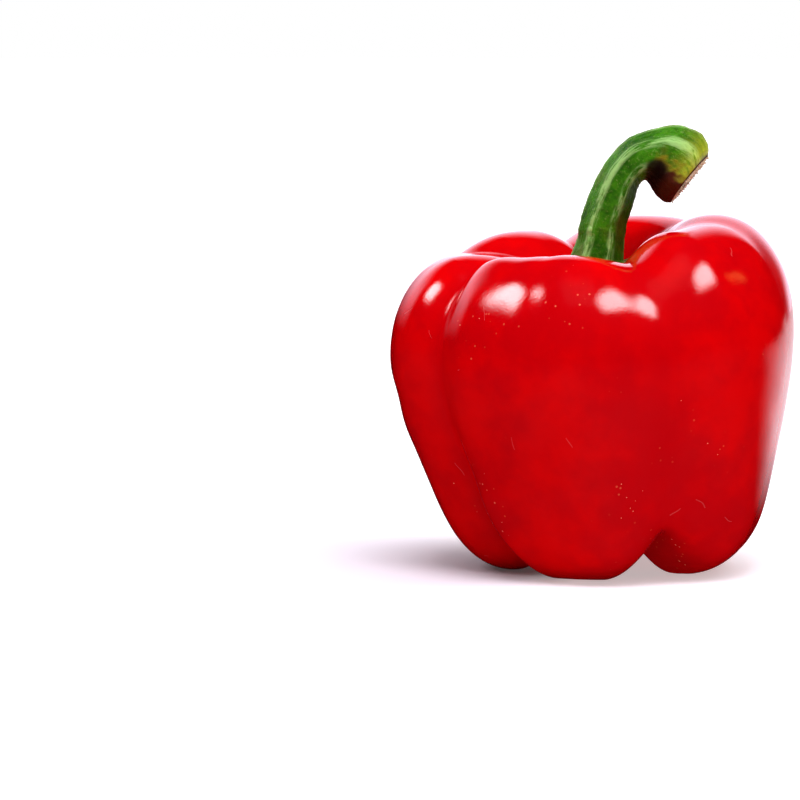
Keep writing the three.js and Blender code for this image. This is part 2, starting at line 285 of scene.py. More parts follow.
def stalk_ring(angle, share, scale=1.0, out=0.0):
    """A ring of the stalk: share 0 at its foot, 1 at the cut end. out pushes it along the stem."""
    values = station(share * (len(STEM) - 1))
    outer, inner = np.array([values[0], 0, values[1]]), np.array([values[2], 0, values[3]])
    middle, reach = (outer + inner) / 2, (inner - outer) / 2
    along = np.array([-reach[2], 0, reach[0]]) / np.linalg.norm(reach)
    crown = 2 * rib_height(angle) ** 1.4 - 0.9
    ribs = 1 + RIB_DEPTH * crown + 0.015 * np.cos(4 * angle - 0.5)
    ring = middle + np.outer(np.cos(angle) * ribs * scale, reach)
    ring[:, 1] += np.sin(angle) * ribs * scale * values[4]
    out = out + CUT_TURN * smooth((share - 0.8) / 0.2) * np.sin(angle) * scale
    return ring + np.outer(out, along), along


def calyx_ring(angle, distance, lift):
    """A ring of the calyx on the seat, at distances from the axis and a lift above the gap."""
    z = seat_height(angle, distance) + GAP + lift
    return np.stack([distance * np.cos(angle), distance * np.sin(angle), z], -1)


def stem_rows():
    """The rings of stem and calyx from the cut end to the underside, and what the finish needs to know.

    Each row is (ring, share of the stalk, brown, rim, cut), the last four as one value a point."""
    angle = np.arange(STEM_SIDES) * 2 * math.pi / STEM_SIDES - math.pi
    tooth = tooth_height(angle)
    rim = CALYX_RADIUS + TOOTH_LENGTH * tooth ** 1.6 + 0.35 * np.sin(3 * angle + 1)
    inner_side = np.clip(np.cos(angle), 0, 1)
    none = np.zeros(STEM_SIDES)
    rows = []
    for n in range(1, END_ROWS):
        # The cut face: a shallow dish with a raised, frayed edge
        scale = n / END_ROWS
        ring, along = stalk_ring(angle, 1, scale)
        rough = [noise.noise(Vector(p) * 1.1) * 0.22 + noise.noise(Vector(p) * 3.1) * 0.1 for p in ring]
        dish = -0.5 + 0.35 * scale ** 2 + 0.25 * math.exp(-((scale - 0.72) / 0.1) ** 2)
        ring = ring + np.outer(dish + np.array(rough) * min(1, 3 * (1 - scale)), along)
        rows.append((ring, none + 1, none, none, none + 1))
    for n in range(STALK_ROWS + 1):
        share = 1 - n / STALK_ROWS
        ring, along = stalk_ring(angle, share)
        middle = ring.mean(axis=0)
        out = ring - middle
        out /= np.linalg.norm(out, axis=1)[:, None]
        # Low knobs along the ribs, and wrinkles across the inside of the bend
        crown = rib_height(angle) ** 2
        knobs = np.array([noise.noise(Vector((p[0] * 0.55, p[1] * 0.55, p[2] * 0.9))) for p in ring])
        pits = np.array([noise.noise(Vector(p) * 2.3 + Vector((5, 1, 3))) for p in ring])
        bend = math.exp(-(((share - 0.5) / 0.16) ** 2))
        wrinkles = bend * (0.25 + 0.75 * inner_side) * np.sin(150 * share + 3 * np.sin(2 * angle))
        foot = min(1, share * 12, (1 - share) * 14)
        lift = (0.13 * knobs * (0.35 + crown) + 0.05 * pits + 0.05 * wrinkles) * foot
        ring = ring + out * lift[:, None]
        # Brown underside of the bent end: partly the dried stem's own brown, partly painted shade
        hoof = smooth((share - 0.56) / 0.2) * smooth((np.cos(angle) + 0.15 + 0.3 * knobs) / 0.75)
        edge = smooth((share - 0.955) / 0.04)
        rows.append((ring, none + share, np.maximum(hoof, edge * 0.85), none, none))
    for n in range(1, TOP_ROWS + 1):
        # From the foot of the stalk out to the rim: a pocket between the ribs that run to the teeth
        inward = 1 - n / TOP_ROWS
        foot, _ = stalk_ring(angle, 0, 1.05)
        distance = rim * 0.985 * (1 - inward) + np.hypot(foot[:, 0], foot[:, 1]) * inward
        pocket = 0.62 * math.sin(math.pi * min(inward * 1.25, 1))
        rib = 0.8 * tooth ** 3 * math.sin(math.pi * min(inward * 1.1, 1))
        ring = calyx_ring(angle, distance, CALYX_THICKNESS + 0.3 * inward + rib - pocket)
        ring[:, 2] += (foot[:, 2] - ring[:, 2]) * inward ** 3
        pale = none + smooth(1 - inward / 0.16)
        rows.append((ring, none - (1 - inward), none, pale, none))
    for lift, scale in ((0.75, 0.997), (0.45, 1.0), (0.18, 0.995)):
        rows.append((calyx_ring(angle, rim * scale, CALYX_THICKNESS * lift), none - 1, none, none + 1, none))
    for n in range(UNDER_ROWS):
        reach = 1 - n / UNDER_ROWS
        rows.append((calyx_ring(angle, rim * 0.98 * reach, 0), none - 1, none, none + reach ** 4, none))
    return angle, rows


# Mesh helpers

def closed_skin(name, first, rows, last):
    """A mesh of rings of points from one middle point to another, in metres, with faces outwards."""
    sides = rows[0].shape[0]
    spots = np.vstack([[first], *rows, [last]]) * MM + SHIFT
    faces = [(0, 1 + j, 1 + (j + 1) % sides) for j in range(sides)]
    for i in range(len(rows) - 1):
        here, below = 1 + i * sides, 1 + (i + 1) * sides
        for j in range(sides):
            after = (j + 1) % sides
            faces.append((here + j, below + j, below + after, here + after))
    end, tip = 1 + (len(rows) - 1) * sides, len(spots) - 1
    faces += [(tip, end + (j + 1) % sides, end + j) for j in range(sides)]
    mesh = bpy.data.meshes.new(name)
    mesh.from_pydata([tuple(p) for p in spots], [], faces)
    mesh.polygons.foreach_set("use_smooth", [True] * len(mesh.polygons))
    mesh.update()
    return mesh


def store(mesh, name, values):
    """One number or one vector a vertex, kept as an attribute that a finish or a node tree reads."""
    values = np.asarray(values, np.float32)
    kind, field = ("FLOAT", "value") if values.ndim == 1 else ("FLOAT_VECTOR", "vector")
    mesh.attributes.new(name, kind, "POINT").data.foreach_set(field, values.ravel())


def square(name, corners):
    mesh = bpy.data.meshes.new(name)
    mesh.from_pydata(corners, [], [(0, 1, 2, 3)])
    return mesh


def show(data):
    """A mesh, lamp or camera as an object in the scene."""
    shown = bpy.data.objects.new(data.name, data)
    bpy.context.scene.collection.objects.link(shown)
    return shown


def hand_over(piece, slot, *nodes):
    """The piece rides on the pepper and stands for the nodes given; slot is not used."""
    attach(piece, "root")
    if nodes:
        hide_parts(*nodes)


# Node helpers

def feed(tree, made, inputs):
    """Sets a node's inputs to values, or links them from other nodes' outputs."""
    for key, value in inputs.items():
        if isinstance(value, bpy.types.NodeSocket):
            tree.links.new(value, made.inputs[key])
        else:
            made.inputs[key].default_value = value


def node(tree, kind, inputs=None, **settings):
    """A node with its settings and inputs."""
    made = tree.nodes.new(kind)
    for key, value in settings.items():
        setattr(made, key, value)
    feed(tree, made, inputs or {})
    return made


def maths(tree, operation, *values, clamp=False):
    made = node(tree, "ShaderNodeMath", dict(enumerate(values)), operation=operation, use_clamp=clamp)
    return made.outputs[0]


def times(tree, first, second):
    return maths(tree, "MULTIPLY", first, second)


def rest(tree, value):
    """What a share leaves of the whole."""
    return maths(tree, "SUBTRACT", 1.0, value)


def vectors(tree, operation, *values):
    """Outputs of a node that reckons with vectors; SCALE takes a vector and a number."""
    inputs = dict(zip((0, "Scale") if operation == "SCALE" else (0, 1), values))
    return node(tree, "ShaderNodeVectorMath", inputs, operation=operation).outputs


def axes(tree, vector):
    return node(tree, "ShaderNodeSeparateXYZ", {"Vector": vector}).outputs


def ranged(tree, value, low, high, to_low=0.0, to_high=1.0):
    """A value brought from one range into another, smoothly, and held there."""
    inputs = {"Value": value, "From Min": low, "From Max": high, "To Min": to_low, "To Max": to_high}
    return node(tree, "ShaderNodeMapRange", inputs, interpolation_type="SMOOTHSTEP").outputs["Result"]


def blend(tree, factor, first, second):
    """Two colours blended by a factor."""
    return node(tree, "ShaderNodeMix", {0: factor, 6: first, 7: second}, data_type="RGBA").outputs[2]


def grain(tree, vector, size, detail=2.0, roughness=0.5):
    """Noise whose patches are about size metres across."""
    inputs = {"Vector": vector, "Scale": 1 / size, "Detail": detail, "Roughness": roughness}
    return node(tree, "ShaderNodeTexNoise", inputs).outputs["Fac"]


def attribute(tree, name):
    return node(tree, "ShaderNodeAttribute", attribute_name=name).outputs["Fac"]


def new_tree(name, kind, ins, outs):
    """An empty node group, with the outputs of its input node and the inputs of its output node.
    ins and outs hold (name, kind) or (name, kind, default) for each socket."""
    tree = bpy.data.node_groups.new(name, kind)
    for in_out, sockets in (("INPUT", ins), ("OUTPUT", outs)):
        for label, socket_kind, *default in sockets:
            socket = tree.interface.new_socket(label, in_out=in_out, socket_type="NodeSocket" + socket_kind)
            if default:
                socket.default_value = default[0]
    return tree, tree.nodes.new("NodeGroupInput").outputs, tree.nodes.new("NodeGroupOutput").inputs


def mottle_group():
    """Two tones in soft patches of two sizes."""
    ins = (("Vector", "Vector"), ("Patch Size", "Float", 0.02), ("Tone", "Color", (0.5, 0.5, 0.5, 1)),
           ("Second Tone", "Color", (0.3, 0.3, 0.3, 1)))
    tree, given, out = new_tree("Mottle", "ShaderNodeTree", ins, (("Color", "Color"), ("Mask", "Float")))
    scale = maths(tree, "DIVIDE", 1.0, given["Patch Size"])
    fine_scale = times(tree, scale, 5.3)
    broad = node(tree, "ShaderNodeTexNoise", {"Vector": given["Vector"], "Scale": scale, "Detail": 2.0})
    fine = node(tree, "ShaderNodeTexNoise", {"Vector": given["Vector"], "Scale": fine_scale, "Detail": 3.0})
    both = maths(tree, "MULTIPLY_ADD", fine.outputs["Fac"], 0.35, times(tree, broad.outputs["Fac"], 0.65))
    mask = ranged(tree, both, 0.36, 0.64)
    tree.links.new(blend(tree, mask, given["Tone"], given["Second Tone"]), out["Color"])
    tree.links.new(mask, out["Mask"])
    return tree


def marks_group():
    """Short hairline strokes: one straight piece in some of the cells, each turned its own way."""
    ins = (("Vector", "Vector"), ("Cell Size", "Float", 0.006), ("Line Width", "Float", 0.00012),
           ("Amount", "Float", 0.3))
    tree, given, out = new_tree("Hairline Marks", "ShaderNodeTree", ins, (("Mask", "Float"),))
    scale = maths(tree, "DIVIDE", 1.0, given["Cell Size"])
    warp = node(tree, "ShaderNodeTexNoise", {"Vector": given["Vector"], "Scale": scale, "Detail": 1.0})
    shift = vectors(tree, "SUBTRACT", warp.outputs["Color"], (0.5, 0.5, 0.5))[0]
    pulled = vectors(tree, "SCALE", shift, times(tree, given["Cell Size"], 0.5))[0]
    place = vectors(tree, "ADD", given["Vector"], pulled)[0]
    cells = node(tree, "ShaderNodeTexVoronoi", {"Vector": place, "Scale": scale}, feature="F1").outputs
    off = vectors(tree, "SUBTRACT", place, cells["Position"])[0]
    turn = vectors(tree, "SUBTRACT", cells["Color"], (0.5, 0.5, 0.5))[0]
    across = vectors(tree, "DOT_PRODUCT", off, vectors(tree, "NORMALIZE", turn)[0])["Value"]
    thin = maths(tree, "LESS_THAN", maths(tree, "ABSOLUTE", across), given["Line Width"])
    lot = node(tree, "ShaderNodeSeparateColor", {"Color": cells["Color"]}).outputs
    short = maths(tree, "LESS_THAN", cells["Distance"], ranged(tree, lot["Green"], 0.0, 1.0, 0.1, 0.3))
    here = maths(tree, "LESS_THAN", lot["Red"], given["Amount"])
    tree.links.new(times(tree, thin, times(tree, short, here)), out["Mask"])
    return tree


def use_group(tree, name, maker, inputs):
    """Outputs of a node that runs a shader group, which is made when it is first asked for."""
    group = bpy.data.node_groups.get(name) or maker()
    return node(tree, "ShaderNodeGroup", inputs, node_tree=group).outputs


def mottled(tree, vector, size, tone, second_tone):
    inputs = {"Vector": vector, "Patch Size": size, "Tone": tone, "Second Tone": second_tone}
    return use_group(tree, "Mottle", mottle_group, inputs)


def dotted(tree, vector, size):
    """Distance to the nearest of the points scattered about size metres apart, as a share of that size."""
    inputs = {"Vector": vector, "Scale": 1 / size}
    return node(tree, "ShaderNodeTexVoronoi", inputs, feature="F1").outputs["Distance"]


def new_finish(name):
    """A material with its Principled shader, its node tree and its Object coordinates."""
    finish = bpy.data.materials.new(name)
    finish.use_nodes = True
    tree = finish.node_tree
    shader = next(n for n in tree.nodes if n.type == "BSDF_PRINCIPLED")
    return finish, tree, shader, node(tree, "ShaderNodeTexCoord").outputs["Object"]


def bumps(tree, height, distance, strength):
    inputs = {"Height": height, "Distance": distance, "Strength": strength}
    return node(tree, "ShaderNodeBump", inputs).outputs["Normal"]


# Finishes

DOT_ORANGE, MARK_RED = (0.85, 0.18, 0.07, 1), (0.75, 0.10, 0.08, 1)
SPECK_ORANGE, SPECK_CREAM = (0.80, 0.16, 0.07, 1), (0.88, 0.42, 0.26, 1)
SHADED_GREEN, TIP_YELLOW = (0.012, 0.060, 0.0005, 1), (0.52, 0.55, 0.03, 1)
# The second olive is partly dried colour and partly painted shade on the underside of the bent end
OLIVE, DRIED_OLIVE_AND_SHADE = (0.10, 0.11, 0.008, 1), (0.24, 0.19, 0.008, 1)
# The black is painted shade under the bend of the stem
UNDER_BEND_SHADE_BLACK, EDGE_BROWN = (0.002, 0.0005, 0.0003, 1), (0.22, 0.12, 0.02, 1)
PITH, DARK_PITH, VESSEL_GREEN = (0.97, 0.90, 0.70, 1), (0.82, 0.68, 0.44, 1), (0.24, 0.25, 0.05, 1)
FIBRE_CREAM, FIBRE_BROWN = (0.85, 0.76, 0.54, 1), (0.45, 0.30, 0.13, 1)
BLACK, WHITE = (0, 0, 0, 1), (1, 1, 1, 1)


def skin_finish(settings):
    """Waxy red skin: deeper red in the valleys, partly the skin's own tone and partly painted shade, fine orange-peel
    gloss, hairline marks, pale dots.
    """
    finish, tree, shader, place = new_finish("glossy_red_skin")
    red, deep = (*settings.skin_red, 1), (*settings.skin_deep_red, 1)
    marks = use_group(tree, "Hairline Marks", marks_group,
                      {"Vector": place, "Cell Size": 0.006, "Line Width": 0.00008, "Amount": 0.12})["Mask"]
    # Deeper red in the valleys: partly the skin's own tone, partly painted shade in the grooves
    tone = blend(tree, times(tree, attribute(tree, "valley"), 0.9),
                 mottled(tree, place, 0.03, red, deep)["Color"], deep)
    dot = ranged(tree, dotted(tree, place, 1 / 520), 0.10, 0.16, 1.0, 0.0)
    cluster = ranged(tree, grain(tree, place, 0.016, 1.0), 0.6, 0.72)
    sparse = times(tree, dot, cluster)
    tone = blend(tree, times(tree, sparse, 0.35), tone, DOT_ORANGE)
    tone = blend(tree, times(tree, marks, 0.13), tone, MARK_RED)
    smear = grain(tree, place, 0.012, 3.0)
    rough = ranged(tree, smear, 0.3, 0.7, settings.gloss_roughness * 0.85, settings.gloss_roughness * 1.2)
    rough = maths(tree, "ADD", rough, times(tree, marks, 0.25))
    rough = maths(tree, "ADD", rough, times(tree, sparse, 0.2), clamp=True)
    peel = times(tree, grain(tree, place, 0.0006, 2.0), 0.35)
    peel = maths(tree, "SUBTRACT", peel, times(tree, marks, 0.9))
    gloss = ranged(tree, attribute(tree, "crease"), 0.2, 0.9, 0.5, 0.05)
    feed(tree, shader, {"Base Color": tone, "Roughness": rough, "Normal": bumps(tree, peel, 0.00005, 1.0),
                        "Specular IOR Level": gloss, "IOR": 1.45})
    return finish


def speck_finish():
    """Corky dots: pale orange, dull."""
    finish, tree, shader, place = new_finish("corky_speck")
    feed(tree, shader, {"Base Color": blend(tree, grain(tree, place, 0.0004), SPECK_ORANGE, SPECK_CREAM),
                        "Roughness": ranged(tree, grain(tree, place, 0.0002), 0.3, 0.7, 0.4, 0.6)})
    return finish


def stem_finish(settings):
    """Green stalk with paler ribs and fibres, the ribs partly painted highlight; painted shade down the inner side
    and under the bend; yellower and browner towards the cut end, the brown underside partly painted shade.
    """
    finish, tree, shader, place = new_finish("green_stem")
    fibre = node(tree, "ShaderNodeAttribute", attribute_name="fibre").outputs["Vector"]
    green, dark, pale = (*settings.stem_green, 1), (*settings.stem_dark_green, 1), (*settings.stem_pale_green, 1)
    rib, share, brown = attribute(tree, "rib"), attribute(tree, "share"), attribute(tree, "brown")
    streak = grain(tree, fibre, 0.16, 4.0, 0.65)
    flecks = grain(tree, place, 0.0007, 3.0, 0.7)
    # Paler ribs and fibres: partly the stalk's own pale ribs, partly painted highlight
    light = times(tree, ranged(tree, rib, 0.4, 0.95), ranged(tree, streak, 0.38, 0.6))
    light = maths(tree, "ADD", light, times(tree, ranged(tree, flecks, 0.56, 0.7), 0.25), clamp=True)
    tone = blend(tree, times(tree, light, 0.62), mottled(tree, place, 0.006, green, dark)["Color"], pale)
    shade = ranged(tree, maths(tree, "MULTIPLY_ADD", streak, 0.5, attribute(tree, "shade")), 0.5, 0.8)
    # Painted shade down the inner side of the stalk
    tone = blend(tree, times(tree, shade, 0.6), tone, SHADED_GREEN)
    tip = times(tree, ranged(tree, share, 0.7, 0.98), ranged(tree, streak, 0.2, 0.6))
    tone = blend(tree, times(tree, tip, 0.85), tone, TIP_YELLOW)
    olive = ranged(tree, grain(tree, place, 0.009, 2.0), 0.52, 0.68)
    tone = blend(tree, times(tree, olive, 0.5), tone, OLIVE)
    # Olive, then brown, towards the cut end and on the underside of the bent end: partly dried colour, partly painted
    # shade
    browning = maths(tree, "MULTIPLY_ADD", flecks, 0.3, brown)
    tone = blend(tree, ranged(tree, browning, 0.12, 0.5, 0.0, 0.8), tone, DRIED_OLIVE_AND_SHADE)
    dried_brown_and_shade = ranged(tree, browning, 0.3, 1.0)
    tone = blend(tree, dried_brown_and_shade, tone, (*settings.cut_brown, 1))
    # Painted shade: black under the bend
    under_bend_shade = ranged(tree, attribute(tree, "dark"), 0.2, 0.8)
    tone = blend(tree, times(tree, under_bend_shade, 0.95), tone, UNDER_BEND_SHADE_BLACK)
    tone = blend(tree, times(tree, attribute(tree, "rim"), 0.45), tone, EDGE_BROWN)
    rough = ranged(tree, streak, 0.25, 0.75, 0.26, 0.42)
    rough = maths(tree, "ADD", rough, times(tree, dried_brown_and_shade, 0.15), clamp=True)
    height = maths(tree, "ADD", times(tree, streak, 0.7), times(tree, flecks, 0.6))
    feed(tree, shader, {"Base Color": tone, "Roughness": rough, "Normal": bumps(tree, height, 0.00035, 0.9),
                        "Specular IOR Level": 0.1})
    return finish


def cut_finish(settings):
    """The cut face: cream pith, a darker ring of vessels, brown at the edge."""
    finish, tree, shader, place = new_finish("cut_face")
    ring = attribute(tree, "ring")
    pith = mottled(tree, place, 0.0016, PITH, DARK_PITH)
    vessels = ranged(tree, maths(tree, "ABSOLUTE", maths(tree, "SUBTRACT", ring, 0.72)), 0.03, 0.12, 1.0, 0.0)
    spots = ranged(tree, dotted(tree, place, 1 / 1500), 0.2, 0.5, 1.0, 0.2)
    tone = blend(tree, times(tree, vessels, spots), pith["Color"], VESSEL_GREEN)
    browning = maths(tree, "MULTIPLY_ADD", pith["Mask"], 0.002, axes(tree, place)["Z"])
    edge = maths(tree, "ADD", ranged(tree, ring, 0.93, 1.0, 0.0, 0.7),
                 ranged(tree, browning, 0.087, 0.0905, 1.0, 0.0), clamp=True)
    tone = blend(tree, edge, tone, (*settings.cut_brown, 1))
    feed(tree, shader, {"Base Color": tone, "Roughness": ranged(tree, pith["Mask"], 0.0, 1.0, 0.6, 0.85),
                        "Normal": bumps(tree, grain(tree, place, 0.0005, 4.0, 0.7), 0.0004, 0.8)})
    return finish


def fibre_finish():
    """Dry fibre ends: cream and brown in patches."""
    finish, tree, shader, place = new_finish("dry_fibre")
    feed(tree, shader, {"Base Color": blend(tree, grain(tree, place, 0.0012, 3.0), FIBRE_CREAM, FIBRE_BROWN),
                        "Roughness": ranged(tree, grain(tree, place, 0.0004), 0.3, 0.7, 0.6, 0.85)})
    return finish


# Geometry node trees

GEOMETRY = ("Geometry", "Geometry")
MATERIAL = ("Material", "Material")


def named_value(tree, name, kind="FLOAT"):
    inputs = {"Name": name}
    return node(tree, "GeometryNodeInputNamedAttribute", inputs, data_type=kind).outputs["Attribute"]


def dressed(tree, given, out, geometry):
    """The tree, ended by giving its material to the geometry."""
    made = node(tree, "GeometryNodeSetMaterial", {"Geometry": geometry, "Material": given["Material"]})
    tree.links.new(made.outputs[0], out[0])
    return tree


def repeated(tree, given, points, shape, rotation, least):
    """A shape at each point, in random sizes from least to 1, as a plain mesh."""
    size = node(tree, "FunctionNodeRandomValue", {"Seed": given["Seed"]}, data_type="FLOAT")
    size.inputs[2].default_value, size.inputs[3].default_value = least, 1.0
    placed = node(tree, "GeometryNodeInstanceOnPoints",
                  {"Points": points, "Instance": shape, "Rotation": rotation, "Scale": size.outputs[1]})
    return node(tree, "GeometryNodeRealizeInstances", {"Geometry": placed.outputs[0]}).outputs[0]


def uneven_skin_tree():
    """Moves each point along its normal by soft noise, where the named value allows."""
    ins = (GEOMETRY, ("Height", "Float", 0.0002), ("Wave Size", "Float", 0.01), MATERIAL)
    tree, given, out = new_tree("Uneven Skin", "GeometryNodeTree", ins, (GEOMETRY,))
    scale = maths(tree, "DIVIDE", 1.0, given["Wave Size"])
    wave = node(tree, "ShaderNodeTexNoise", {"Scale": scale, "Detail": 1.5, "Roughness": 0.4})
    centred = maths(tree, "SUBTRACT", wave.outputs["Fac"], 0.5)
    lift = times(tree, times(tree, centred, given["Height"]), 2.0)
    lift = times(tree, lift, named_value(tree, "free"))
    offset = vectors(tree, "SCALE", node(tree, "GeometryNodeInputNormal").outputs[0], lift)[0]
    moved = node(tree, "GeometryNodeSetPosition", {"Geometry": given["Geometry"], "Offset": offset})
    return dressed(tree, given, out, moved.outputs[0])


def specks_tree():
    """Low domes scattered over the skin, thicker in patches."""
    ins = (GEOMETRY, ("Density", "Float", 4000.0), ("Size", "Float", 0.0002), ("Seed", "Int", 3), MATERIAL)
    tree, given, out = new_tree("Corky Specks", "GeometryNodeTree", ins, (GEOMETRY,))
    patches = node(tree, "ShaderNodeTexNoise", {"Scale": 60.0, "Detail": 1.0})
    thick = times(tree, ranged(tree, patches.outputs["Fac"], 0.55, 0.8), 0.2)
    thick = maths(tree, "ADD", thick, times(tree, named_value(tree, "speckled"), 0.3))
    density = times(tree, times(tree, thick, named_value(tree, "free")), given["Density"])
    scatter = node(tree, "GeometryNodeDistributePointsOnFaces",
                   {"Mesh": given["Geometry"], "Density": density, "Seed": given["Seed"]}).outputs
    dome = node(tree, "GeometryNodeMeshUVSphere", {"Segments": 8, "Rings": 4, "Radius": given["Size"]})
    flat = node(tree, "GeometryNodeTransform", {"Geometry": dome.outputs["Mesh"], "Scale": (1, 1, 0.28)})
    solid = repeated(tree, given, scatter["Points"], flat.outputs[0], scatter["Rotation"], 0.45)
    even = node(tree, "GeometryNodeSetShadeSmooth", {"Geometry": solid})
    return dressed(tree, given, out, even.outputs[0])


def fibres_tree():
    """A tapered fibre at each point of a path, pointing the way that the point's value says."""
    ins = (GEOMETRY, ("Length", "Float", 0.001), ("Thickness", "Float", 0.0002), ("Seed", "Int", 5), MATERIAL)
    tree, given, out = new_tree("Cut Fibres", "GeometryNodeTree", ins, (GEOMETRY,))
    fibre = node(tree, "GeometryNodeMeshCone",
                 {"Vertices": 6, "Radius Top": times(tree, given["Thickness"], 0.2),
                  "Radius Bottom": given["Thickness"], "Depth": given["Length"]})
    turn = node(tree, "FunctionNodeAlignRotationToVector",
                {"Vector": named_value(tree, "reach", "FLOAT_VECTOR")}, axis="Z")
    solid = repeated(tree, given, given["Geometry"], fibre.outputs["Mesh"], turn.outputs[0], 0.35)
    return dressed(tree, given, out, solid)


def grow(piece, tree, values):
    """Runs a geometry tree on the piece with the values given, and keeps the result as a plain mesh."""
    modifier = piece.modifiers.new(tree.name, "NODES")
    modifier.node_group = tree
    for item in tree.interface.items_tree:
        if item.item_type == "SOCKET" and item.in_out == "INPUT" and item.name in values:
            modifier[item.identifier] = values[item.name]
    graph = bpy.context.evaluated_depsgraph_get()
    grown = bpy.data.meshes.new_from_object(piece.evaluated_get(graph))
    piece.modifiers.clear()
    old, piece.data = piece.data, grown
    bpy.data.meshes.remove(old)
    grown.name = piece.name


# What a user would change

def color_setting(name, description, default):
    return bpy.props.FloatVectorProperty(name=name, description=description, default=default,
                                         subtype="COLOR", size=3, min=0, max=1)


def number_setting(name, description, least, most, default, **more):
    return bpy.props.FloatProperty(name=name, description=description, default=default, min=least, max=most,
                                   **more)


def length_setting(*values):
    return number_setting(*values, unit="LENGTH", precision=5)


class PepperFruitSettings(bpy.types.PropertyGroup):
    skin_red: color_setting("Skin Red", "Colour of the ripe skin", (0.62, 0.0, 0.001))
    # In the valleys this colour is partly painted shade
    skin_deep_red: color_setting(
        "Deep Red", "Colour of the deeper patches and of the valleys", (0.46, 0.0, 0.002))
    gloss_roughness: number_setting(
        "Gloss Roughness", "How soft the edges of a reflection are", 0.02, 1, 0.08, subtype="FACTOR")
    wave_height: length_setting("Wave Height", "Height of the skin's soft unevenness", 0, 0.001, 0.00017)
    wave_size: length_setting(
        "Wave Size", "Distance from one soft hill of the skin to the next", 0.002, 0.05, 0.013)
    speck_density: number_setting(
        "Speck Density", "Corky specks on a square metre of the thickest patches", 0, 1000000, 120000)
    speck_size: length_setting("Speck Size", "Largest radius of a corky speck", 0.00005, 0.001, 0.00014)


class PepperStemSettings(bpy.types.PropertyGroup):
    stem_green: color_setting("Stem Green", "Main colour of the stalk", (0.040, 0.205, 0.002))
    stem_dark_green: color_setting("Dark Green", "Colour between the ribs", (0.011, 0.080, 0.001))
    # On the ribs this colour is partly painted highlight
    stem_pale_green: color_setting("Pale Green", "Colour of the ribs and fibres", (0.40, 0.68, 0.22))
    # On the underside of the bent end this brown is partly painted shade
    cut_brown: color_setting(
        "Cut Brown", "Colour of the dried edge and underside of the cut end", (0.062, 0.010, 0.002))
    fibre_length: length_setting("Fibre Length", "Longest frayed fibre at the cut end", 0.0002, 0.004, 0.0008)
    fibre_thickness: length_setting("Fibre Thickness", "Radius of a fibre at its foot", 0.00005, 0.001, 0.0003)


class PepperStageSettings(bpy.types.PropertyGroup):
    top_lamp_power: number_setting(
        "Top Lamp Power", "Power of the soft lamp above the front", 0, 100, 11.5, unit="POWER")
    left_lamp_power: number_setting(
        "Left Lamp Power", "Power of the soft lamp at the left", 0, 100, 3.2, unit="POWER")
    right_lamp_power: number_setting(
        "Right Lamp Power", "Power of the soft lamp at the right", 0, 100, 2.2, unit="POWER")
    lamp_shine: number_setting("Lamp Shine", "Brightness of the soft lamps in the skin's gloss", 0, 100, 17.0)
    backdrop_light: number_setting(
        "Backdrop Light", "Brightness of the white backdrop in the skin's gloss", 0, 20, 2.0)
    room_light: number_setting("Room Light", "Brightness of the light from all round", 0, 10, 0.42)
    floor_tone: color_setting("Floor Tone", "Colour of the floor", (0.75, 0.735, 0.81))


# The pieces

def place_shift():
    """What moves the shape's own axis to where the CAD's fruit stands, in metres."""
    around = np.linspace(0, LOBE_LINES, FRUIT_SIDES, endpoint=False)
    spots = fruit_skin(around[None, :], np.linspace(0, 1, 61)[:, None]).reshape(-1, 3)
    own = (spots.min(axis=0) + spots.max(axis=0)) / 2 * MM
    theirs = (np.array(FRUIT_LOW) + np.array(FRUIT_HIGH)) / 2
    return np.array([theirs[0] - own[0], theirs[1] - own[1], 0.0])


SHIFT = place_shift()


class PEPPER_OT_fruit(bpy.types.Operator):
    """Makes the red fruit, with its waves, and the corky specks on it"""
    bl_idname = "pepper.fruit"
    bl_label = "Make Fruit"

    def execute(self, context):
        settings = context.scene.pepper_fruit
        around = np.linspace(0, LOBE_LINES, FRUIT_SIDES, endpoint=False)
        side = around - np.round(around)  # points stand closer together at the valleys
        around = np.round(around) + np.sign(side) * 0.5 * np.abs(2 * side) ** 1.35
        down = np.linspace(0, 1, FRUIT_ROWS + 1)
        skin = fruit_skin(around[None, :], down[:, None])
        mesh = closed_skin("pepper_skin", skin[0, 0], list(skin[1:-1]), skin[-1, 0])
        distance = np.hypot(skin[..., 0], skin[..., 1])
        # Free to wave: not under the calyx, not at the feet
        free = smooth((skin[..., 2] - 2) / 6) * np.where(down[:, None] < 0.2, smooth((distance - 14) / 5), 1)
        # How deep a point lies in a valley; the finish paints the valleys deeper red with it, partly painted shade
        depth = SINKS[:, 1:].sum(axis=1)[np.round(around).astype(int) % LOBE_LINES]
        sunk = (1 - smooth(np.abs(around - np.round(around)) / 0.17)) * np.clip(depth / 16, 0, 1)
        free = free * (1 - 0.9 * sunk[None, :])
        fade = 1 - 0.5 * np.exp(-(((down - 0.52) / 0.17) ** 2))
        speckled = np.exp(-((around[None, :] - 1.78) / 0.07) ** 2 - ((down[:, None] - 0.67) / 0.07) ** 2)
        crease = (np.round(around) % LOBE_LINES == 0) * (1 - smooth(np.abs(around - np.round(around)) / 0.07))
        for name, values in (("free", free), ("speckled", speckled), ("valley", sunk[None, :] * fade[:, None]),
                             ("crease", crease[None, :] * np.ones_like(fade)[:, None])):
            store(mesh, name, np.concatenate([[values[0, 0]], values[1:-1].ravel(), [values[-1, 0]]]))
        fruit = show(mesh)
        grow(fruit, uneven_skin_tree(), {"Height": settings.wave_height, "Wave Size": settings.wave_size,
                                         "Material": skin_finish(settings)})
        hand_over(fruit, "red_skin", "fruit")

        specks = show(fruit.data.copy())
        specks.name = "corky_specks"
        grow(specks, specks_tree(), {"Density": settings.speck_density, "Size": settings.speck_size,
                                     "Seed": SPECK_SEED, "Material": speck_finish()})
        hand_over(specks, "red_skin")
        return {"FINISHED"}


